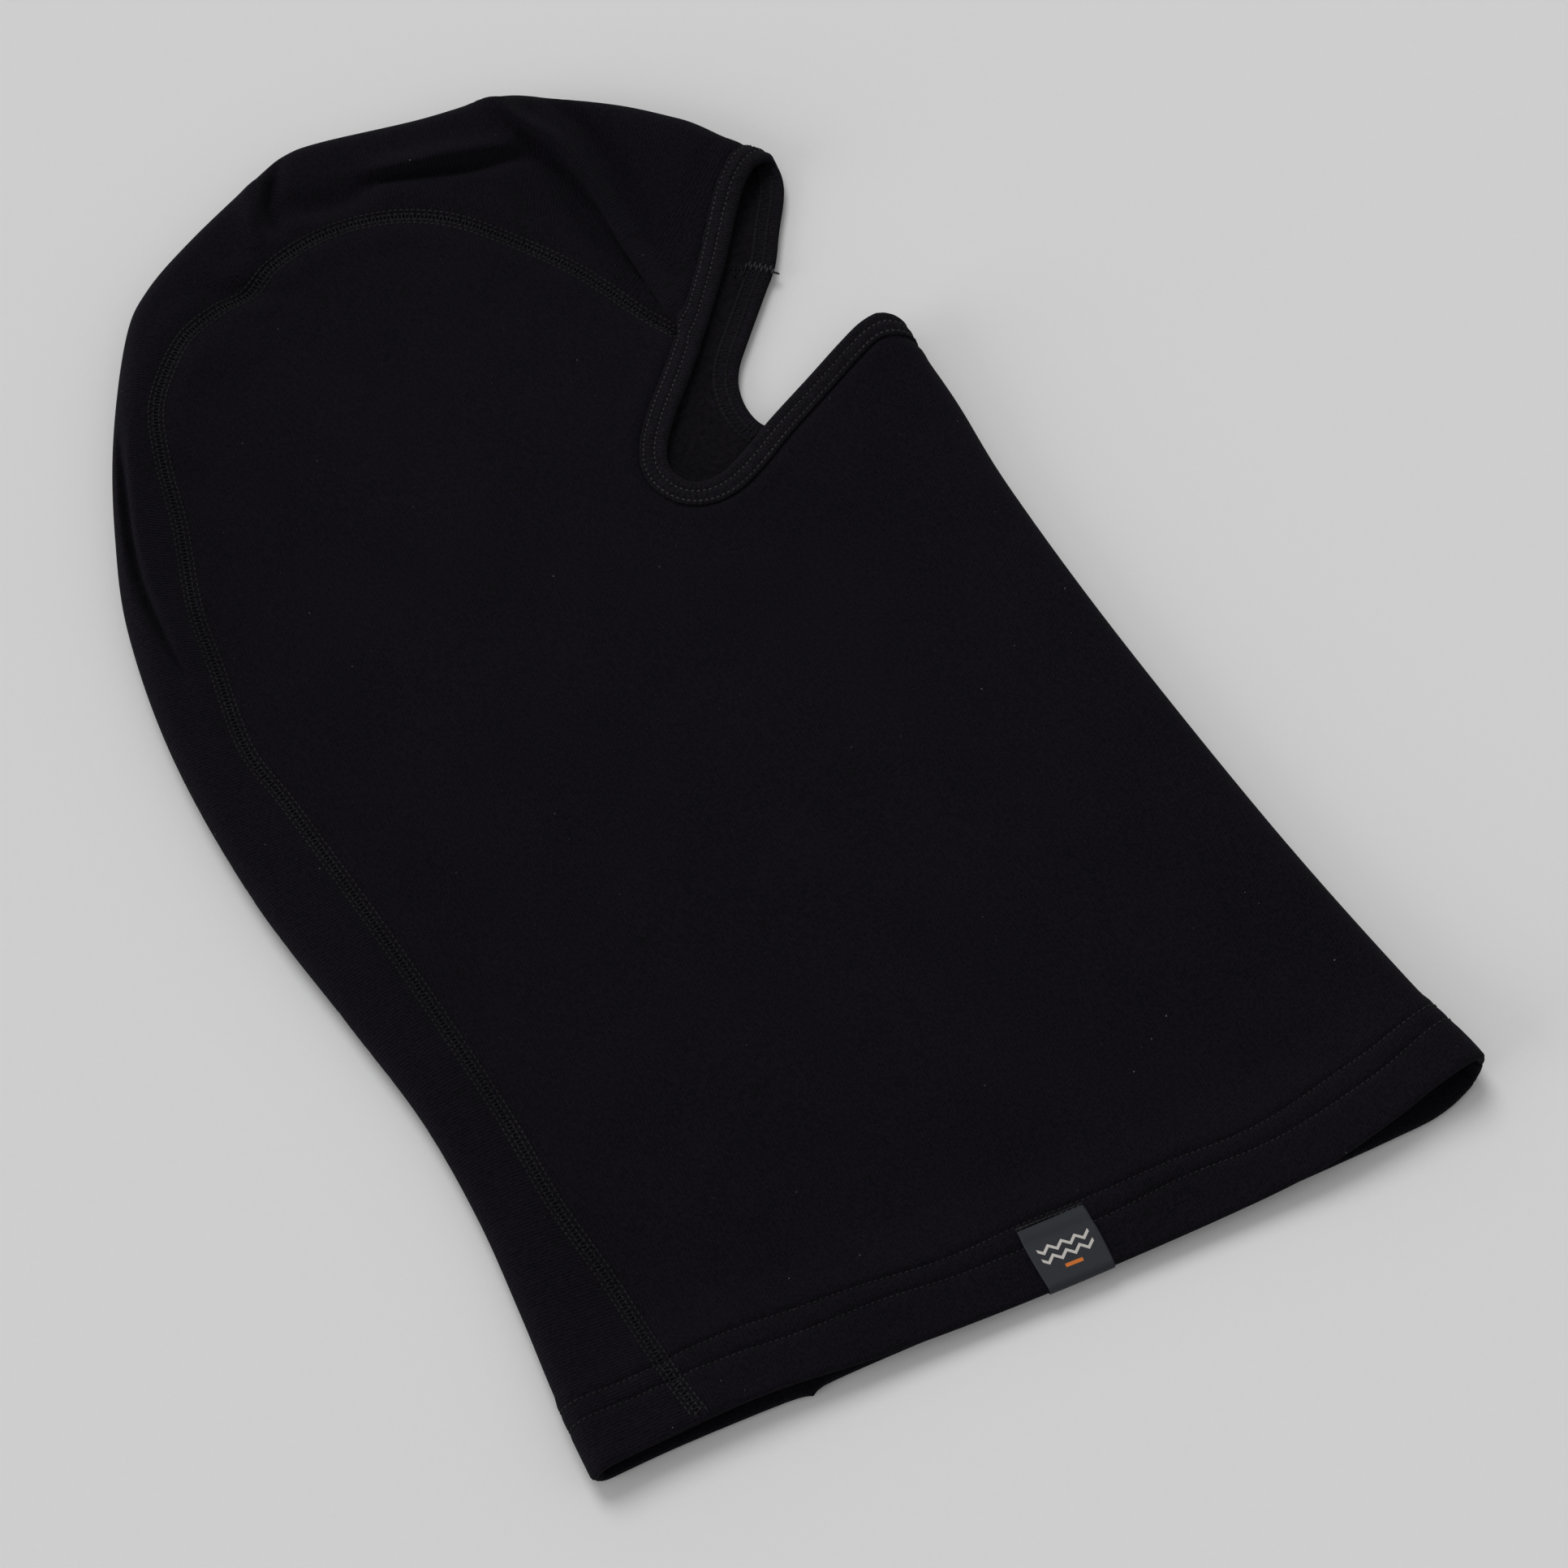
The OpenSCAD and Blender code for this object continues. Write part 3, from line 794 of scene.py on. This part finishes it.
def face_binding(material):
    """The folded strip round the opening, with a slight ripple in its raised parts."""
    stations = binding_stations()
    profile = binding_profile()
    count = len(stations)
    width = len(profile)
    at = np.arange(count)
    ripple = 1 + 0.06 * np.sin(at * 0.9) + 0.05 * np.sin(at * 0.37 + 1)
    rings = [on_binding(stations, u, n * ripple if n > 0.5 else n)[0] for u, n in profile]
    verts = np.stack(rings, axis=1).reshape(-1, 3)
    girth = lengths(np.array(profile))
    grain = [(s * BINDING_STEP, across, 0) for s in range(count) for across in girth]
    faces = [face for s in range(count)
             for face in ring_faces(s * width, (s + 1) % count * width, width)]
    return new_mesh("face_binding", verts, faces, [material], grain)


def binding_row(name, row, material):
    row_path = on_binding(closed_stations(), row, ROW_LIFT)
    return stitched(name, [(*row_path, 0.5)], 1.1, NEEDLE_R, material)


def crossing_path(middle, up, half, pitch):
    """A zigzag to both sides of a middle path."""
    total = lengths(middle)[-1]
    share, cross = zigzag_row(int(total / pitch))
    at = lengths(middle) / total
    spine = read_at(share, at, middle)
    ups = read_at(share, at, up)
    sideways = np.cross(ups, tangents(spine))
    return spine + sideways * (cross * half)[:, None] + ups * (0.1 * (1 - cross ** 2))[:, None]


def chain(path, ups, pitch, radius):
    """The loops of a chain stitch as small flat lozenges along a path."""
    spots, forwards, turned = paced(path, ups, pitch)
    forwards = unit(forwards)
    sideways = np.cross(turned, forwards)
    parts = []
    for spot, forward, side in zip(spots, forwards, sideways):
        loop = [spot - forward * 0.5 * pitch, spot + side * 1.3 * radius, spot + forward * 0.6 * pitch,
                spot - side * 1.3 * radius, spot - forward * 0.45 * pitch]
        parts.append(tube(np.array(loop), radius, 4))
    return parts


def binding_looper(material):
    """The chain stitches on the inner face of the binding, with the thread that crosses between."""
    stations = closed_stations()
    parts = []
    for row in BINDING_ROWS:
        path, up = on_binding(stations, row, -2.1)
        parts += chain(path, -up, STITCH, 0.2)
    middle, up = on_binding(stations, sum(BINDING_ROWS) / 2, -2.2)
    half = (BINDING_ROWS[1] - BINDING_ROWS[0]) / 2
    parts.append(tube(crossing_path(middle, -up, half, STITCH), 0.11, 4))
    return joined("binding_looper_thread", parts, [material])


def closing_tack(material):
    """Stitches across the binding where its ends meet inside, and the nub left at its edge."""
    line = opening[LOWER].line
    near = seam_meeting(LOWER)
    forward = tangents(line)[near]
    inward = -left_of(forward[None])[0]
    count = 11
    u = np.linspace(BINDING_W, 0.1, count)
    zigzag = 0.45 * np.cos(np.arange(count) * math.pi)
    plan = line[near] + inward * u[:, None] + forward * zigzag[:, None]
    data = field[LOWER].read(plan)
    spots = data[:, :3] - data[:, 3:6] * (CLOTH_T + 1.15)
    ways = np.tile([*forward, 0.0], (count, 1))
    nub = spots[-1] - np.array([[*inward, 0.0]]) * np.array([[0.2], [0.8], [1.3]])
    nub[:, 2] -= 0.7
    spots = np.vstack([spots, nub])
    ways = np.vstack([ways, np.tile([*inward, 0.15], (3, 1))])
    ups = np.tile([0, 0, 1.0], (count + 3, 1))
    return beads("binding_closing_tack", spots, ways, ups, 1.9, 0.34, [material])


# ---- hem
def hem_path(side, row, lift):
    """A row's path across one side, from fold to fold."""
    level = hem_y(side, 0.0) + row
    start, end = [np.interp(level, *near_hem(f.line[:f.own])) for f in (back_fold, front_fold)]
    xs = np.arange(start, end, 0.5)
    return cloth(side, np.column_stack([xs, row_y(side, xs, row)]), lift)


def hem_row(name, row, material):
    rows = [(*hem_path(side, row, 0.1), 0.5) for side in (UPPER, LOWER)]
    return stitched(name, rows, 1.3, NEEDLE_R, material)


def hem_looper(material):
    parts = []
    for side in (UPPER, LOWER):
        middle, up = hem_path(side, sum(ROWS) / 2, -2 * HEM_R - 0.2)
        parts.append(tube(crossing_path(middle, -up, (ROWS[1] - ROWS[0]) / 2, STITCH), 0.2))
    return joined("hem_looper_thread", parts, [material])


# ---- label
LABEL_X = (6.8, 26.4)     # plan x of its sides
LABEL_MIDDLE = sum(LABEL_X) / 2
LABEL_TOP = 18.2          # height of its front leaf over the hem edge
LABEL_BACK = 16.0         # height of its hidden leaf inside


def label_lift(x, q):
    """The woven label rests on the hem and follows the stitch step under it."""
    lift = 0.5 - 0.35 * bump(q - ROWS[0], 1.6) - 0.5 * bump(q - LABEL_TOP, 1.4)
    return lift + 0.25 * bump(x - LABEL_MIDDLE, 9.0) * bump(q - 6, 7.0)


def hem_label(materials):
    xs = np.linspace(*LABEL_X, 41)
    qs = np.linspace(LABEL_TOP, -HEM_ARC - LABEL_BACK, 84)
    grid_x, grid_q = np.meshgrid(xs, qs)
    grid_x, grid_q = grid_x.ravel(), grid_q.ravel()
    sway = 0.35 * np.sin((LABEL_TOP - grid_q) / 5.5) * (grid_x - LABEL_MIDDLE) / 10
    skew = 0.02 * (grid_x - LABEL_MIDDLE)
    flat = np.column_stack([grid_x + sway, hem_y(UPPER, grid_x) + grid_q - skew])
    verts, _ = cloth(UPPER, flat, label_lift(grid_x, grid_q), relief=False)
    columns = len(xs)
    corners = [r * columns + c for r in range(len(qs) - 1) for c in range(columns - 1)]
    faces = [(k + columns, k + columns + 1, k + 1, k) for k in corners]
    grain = np.column_stack([grid_x - LABEL_X[0], grid_q, np.zeros(len(grid_x))])
    return thickened(new_mesh("hem_label", verts, faces, materials, grain), 0.28)


def label_tacks(material):
    xs = np.linspace(LABEL_X[0] + 0.4, LABEL_X[1] - 0.4, 12)
    flat = np.column_stack([xs, hem_y(UPPER, xs) + LABEL_TOP - 0.3])
    spots, ups = cloth(UPPER, flat, 0.35, relief=False)
    forwards = np.tile([1.0, 0.0, 0.0], (len(xs), 1))
    return beads("label_tack_stitches", spots, forwards, ups, 1.45, 0.26, [material])


# ---- materials
class Nodes:
    """Short calls for building a material's nodes."""

    def __init__(self, name):
        self.material = bpy.data.materials.new(name)
        self.material.use_nodes = True
        self.tree = self.material.node_tree
        self.shader = self.tree.nodes["Principled BSDF"]

    def add(self, kind, **settings):
        node = self.tree.nodes.new(kind)
        for key, value in settings.items():
            setattr(node, key, value)
        return node

    def put(self, socket, value):
        """Links or sets an input. A tuple is a colour without its alpha."""
        if isinstance(value, bpy.types.NodeSocket):
            self.tree.links.new(value, socket)
        else:
            socket.default_value = (*value, 1) if isinstance(value, tuple) else value

    def fill(self, node, values):
        for key, value in values.items():
            self.put(node.inputs[key], value)

    def math(self, operation, a, b=0.0, c=0.0):
        node = self.add("ShaderNodeMath", operation=operation)
        for socket, value in zip(node.inputs, (a, b, c)):
            self.put(socket, value)
        return node.outputs[0]

    def times(self, a, b, plus=None):
        """a times b, and plus the third where there is one."""
        return self.math("MULTIPLY", a, b) if plus is None else self.math("MULTIPLY_ADD", a, b, plus)

    def grain(self):
        return self.add("ShaderNodeAttribute", attribute_name="grain").outputs["Vector"]

    def place(self):
        """Object coordinates, in millimetres."""
        coords = self.add("ShaderNodeTexCoord").outputs["Object"]
        scaled = self.add("ShaderNodeVectorMath", operation="SCALE")
        self.fill(scaled, {0: coords, "Scale": 1 / MM})
        return scaled.outputs[0]

    def split(self, vector):
        node = self.add("ShaderNodeSeparateXYZ")
        self.put(node.inputs[0], vector)
        return node.outputs

    def wave(self, value, period):
        """A sine wave between 0 and 1."""
        turn = self.times(value, 2 * math.pi / period)
        return self.times(self.math("SINE", turn), 0.5, 0.5)

    def stripe(self, value, middle, low, high):
        """1 near the middle, falling to 0 between these two distances from it."""
        gap = self.math("ABSOLUTE", self.math("SUBTRACT", value, middle))
        return self.spread(gap, low, high, 1.0, 0.0)

    def noise(self, vector, scale, detail=3.0, rough=0.55):
        node = self.add("ShaderNodeTexNoise")
        self.fill(node, {"Vector": vector, "Scale": scale, "Detail": detail, "Roughness": rough})
        return node.outputs["Fac"]

    def spread(self, value, low, high, to_low=0.0, to_high=1.0):
        node = self.add("ShaderNodeMapRange", interpolation_type="SMOOTHSTEP")
        self.fill(node, {"Value": value, "From Min": low, "From Max": high, "To Min": to_low,
                         "To Max": to_high})
        return node.outputs[0]

    def blend(self, share, a, b):
        node = self.add("ShaderNodeMix", data_type="RGBA")
        self.fill(node, {0: share, 6: a, 7: b})
        return node.outputs[2]

    def bump(self, height, strength, distance):
        node = self.add("ShaderNodeBump")
        self.fill(node, {"Height": height, "Strength": strength, "Distance": distance * MM})
        self.put(self.shader.inputs["Normal"], node.outputs[0])

    def finish(self, colour, roughness, sheen=0.0, sheen_rough=0.5, tint=(1, 1, 1), specular=0.3):
        self.fill(self.shader, {"Base Color": colour, "Roughness": roughness,
                                "Sheen Weight": sheen, "Sheen Roughness": sheen_rough,
                                "Sheen Tint": tint, "Specular IOR Level": specular})
        return self.material


def knitted(name, dark, light, pitch, sheen, lint):
    """Fine jersey: wales across grain x, courses along grain y, soft fuzz and a little lint."""
    n = Nodes(name)
    grain = n.grain()
    x, y, _ = n.split(grain)
    place = n.place()
    wander = n.noise(grain, 0.35, 2.0)
    phase = n.times(x, 2 * math.pi / pitch, n.times(wander, 2.5))
    wale = n.times(n.math("SINE", phase), 0.5, 0.5)
    course = n.wave(y, 0.8 * pitch)
    fuzz = n.noise(place, 1.25, 6.0, 0.85)
    fine = n.noise(place, 4.0, 3.0, 0.7)
    patches = n.noise(place, 0.03, 3.0, 0.5)
    loops = n.times(wale, n.times(course, 0.4, 0.6))
    height = n.math("ADD", n.times(loops, 0.7), n.times(fuzz, 1.6))
    height = n.math("ADD", height, n.times(fine, 0.4))
    tone = n.times(n.spread(fuzz, 0.42, 0.58), 0.62, n.times(loops, 0.3))
    tone = n.times(n.spread(patches, 0.35, 0.65), 0.09, tone)
    colour = n.blend(tone, dark, light)
    if lint > 0:
        specks = n.spread(n.noise(place, 0.9, 2.0, 0.5), 0.785, 0.81, 0.0, lint)
        colour = n.blend(specks, colour, (0.17, 0.17, 0.185))
    n.bump(height, 0.8, 0.45)
    return n.finish(colour, 0.95, sheen, 0.5, (0.80, 0.74, 0.95), 0.06)


def fleece_material():
    """The soft raised inner face of the jersey."""
    n = Nodes("fleece inner face")
    place = n.place()
    tufts = n.noise(place, 0.55, 6.0, 0.8)
    curls = n.noise(place, 2.2, 4.0, 0.7)
    colour = n.blend(n.spread(tufts, 0.32, 0.66), (0.0008, 0.0007, 0.0011), (0.0090, 0.0075, 0.0110))
    n.bump(n.math("ADD", tufts, n.times(curls, 0.5)), 1.0, 1.2)
    return n.finish(colour, 0.95, 0.015, 0.5, (0.82, 0.78, 0.92), 0.05)


def thread_material(name, dark, light):
    """Twisted polyester thread with its fine twist and a slight shine."""
    n = Nodes(name)
    place = n.place()
    x, y, z = n.split(place)
    slant = n.math("ADD", n.math("ADD", x, n.times(y, 0.8)), n.times(z, 1.2))
    twist = n.wave(slant, 0.32)
    fluff = n.noise(place, 2.3, 3.0, 0.6)
    worn = n.spread(n.noise(place, 0.06, 2.0, 0.5), 0.36, 0.62, 0.35, 1.0)
    tone = n.times(twist, 0.35, n.times(n.spread(fluff, 0.3, 0.7), 0.6))
    tone = n.times(tone, worn)
    n.bump(n.math("ADD", twist, fluff), 0.5, 0.1)
    return n.finish(n.blend(tone, dark, light), 0.7, 0.01, 0.4, (1, 1, 1), 0.15)


def label_material():
    """Satin woven slate ground with two off-white zigzags and an orange dash."""
    n = Nodes("label weave")
    grain = n.grain()
    x, q, _ = n.split(grain)
    ribs = n.wave(q, 0.34)
    warp = n.wave(x, 0.26)
    mottle = n.noise(grain, 1.4, 3.0, 0.6)
    weave = n.times(ribs, 0.6, n.times(warp, 0.4))
    tone = n.times(weave, 0.6, n.times(mottle, 0.4))
    ground = n.blend(tone, (0.008, 0.0095, 0.0125), (0.028, 0.0315, 0.0375))
    jag = n.times(n.math("PINGPONG", x, 1.9), 0.9)
    stripes = 0.0
    for level in (8.6, 5.6):
        stripes = n.math("MAXIMUM", stripes, n.stripe(q, n.math("ADD", jag, level), 0.45, 0.6))
    middle = (LABEL_X[1] - LABEL_X[0]) / 2
    stripes = n.times(stripes, n.stripe(x, middle, 7.3, 7.5))
    dash = n.times(n.stripe(x, middle, 2.4, 2.6), n.stripe(q, 3.2, 0.45, 0.6))
    worn = n.spread(weave, 0.1, 0.5, 0.72, 1.0)
    colour = n.blend(n.times(stripes, worn), ground, (0.46, 0.44, 0.41))
    colour = n.blend(n.times(dash, worn), colour, (0.52, 0.14, 0.02))
    n.bump(n.math("ADD", weave, n.times(stripes, 0.7)), 0.5, 0.12)
    return n.finish(colour, 0.6, 0.01, 0.4, (1, 1, 1), 0.15)


def floor_material():
    n = Nodes("pale paper floor")
    speckle = n.noise(n.place(), 0.6, 4.0, 0.6)
    n.bump(speckle, 0.08, 0.2)
    return n.finish(n.blend(speckle, (0.61, 0.61, 0.61), (0.63, 0.63, 0.63)), 0.95, specular=0.0)


# ---- the object
def mounted(obj, nodes):
    if obj.name.partition(".")[0] in nodes:
        obj.name = "sewn_" + obj.name.partition(".")[0]
    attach(obj, "root")
    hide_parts(*nodes)
    return obj


def build_panels(jersey, fleece):
    front = panel("front_panel", False, [jersey, fleece])
    crown = panel("crown_panel", True, [jersey, fleece])
    mounted(front, ["front_panel_right_side", "front_panel_left_side", "front_panel_fold"])
    mounted(crown, ["crown_panel_right_side", "crown_panel_left_side", "crown_panel_fold"])


def build_binding(thread, cover):
    strip = knitted("binding jersey", (0.0012, 0.0010, 0.0017), (0.0105, 0.0090, 0.0130), pitch=1.05,
                    sheen=0.012, lint=0.5)
    binding = mounted(face_binding(strip), ["face_binding"])
    rows = {"binding_inner_stitch_row": BINDING_ROWS[0], "binding_outer_stitch_row": BINDING_ROWS[1]}
    for name, row in rows.items():
        mounted(binding_row(name, row, thread), [name])
    mounted(binding_looper(cover), ["binding_looper_thread"])
    mounted(closing_tack(thread), ["binding_closing_tack"])


def build_seams(thread, cover):
    for side, word in ((UPPER, "right"), (LOWER, "left")):
        name = word + "_seam_needle_threads"
        mounted(needle_threads(name, side, thread), [name])
        name = word + "_seam_cover_thread"
        mounted(seam_zigzag(name, side, cover, 0.18, 0.17, 1.15), [name])
        name = word + "_seam_looper_thread"
        mounted(seam_zigzag(name, side, cover, -CLOTH_T - 0.1, 0.17, 1.3), [name])


def build_hem(thread, cover):
    for name, row in {"hem_lower_stitch_row": ROWS[0], "hem_upper_stitch_row": ROWS[1]}.items():
        mounted(hem_row(name, row, thread), [name])
    mounted(hem_looper(cover), ["hem_looper_thread"])
    weave = label_material()
    label = mounted(hem_label([weave, weave]), ["hem_label"])
    mounted(label_tacks(thread), ["label_tack_stitches"])


def soft_sun(name, source, power, spread):
    """Even light from the way of source, softened by its wide disc."""
    lamp = bpy.data.lights.new(name, "SUN")
    lamp.energy = power
    lamp.angle = math.radians(spread)
    obj = added(name, lamp)
    obj.rotation_euler = Vector(source).to_track_quat("Z", "Y").to_euler()
    return obj


FLOOR_HALF = 3000
FLOOR_Z = -0.2


def build_stage():
    corners = [(-1, -1), (1, -1), (1, 1), (-1, 1)]
    verts = [(x * FLOOR_HALF, y * FLOOR_HALF, FLOOR_Z) for x, y in corners]
    floor = new_mesh("floor", verts, [(0, 1, 2, 3)], [floor_material()])
    world = bpy.data.worlds.new("soft room")
    world.use_nodes = True
    background = world.node_tree.nodes["Background"].inputs
    background["Color"].default_value = (1, 1, 1, 1)
    background["Strength"].default_value = 0.515
    scene = bpy.context.scene
    scene.world = world
    soft_sun("soft key light", (0.0, 0.61, 0.79), 1.48, 30)
    soft_sun("side light on the back fold", (-0.97, 0.0, 0.25), 1.35, 36)
    scene.view_settings.view_transform = "Standard"


def build_camera():
    elevation, azimuth = math.radians(63), math.radians(-26)
    away = Vector((math.sin(azimuth) * math.cos(elevation), -math.cos(azimuth) * math.cos(elevation),
                   math.sin(elevation)))
    target = Vector((0.0095, -0.049, 0.008))
    lens = bpy.data.cameras.new("camera")
    lens.lens = 97
    lens.sensor_width = 36
    lens.clip_start = 0.05
    camera = added("camera", lens)
    camera.location = target + away * 1.2
    camera.rotation_euler = (-away).to_track_quat("-Z", "Y").to_euler()
    bpy.context.scene.camera = camera


def build():
    thread = thread_material("needle thread", (0.009, 0.0085, 0.0105), (0.042, 0.040, 0.044))
    # A darker copy of the needle thread: painted shade standing in for the seams' smaller, recessed
    # stitches. The hem rows use it too.
    shaded_thread = thread_material("needle thread darkened with painted shade", (0.0026, 0.0024, 0.0032), (0.0165, 0.0155, 0.0185))
    cover = thread_material("cover thread", (0.0028, 0.0026, 0.0034), (0.0125, 0.0115, 0.0140))
    jersey = knitted("brushed jersey", (0.0004, 0.0003, 0.0008), (0.0071, 0.0056, 0.0097), pitch=0.95,
                     sheen=0.015, lint=0.9)
    build_panels(jersey, fleece_material())
    build_binding(thread, cover)
    build_seams(shaded_thread, cover)
    build_hem(shaded_thread, cover)
    build_stage()
    build_camera()


build()
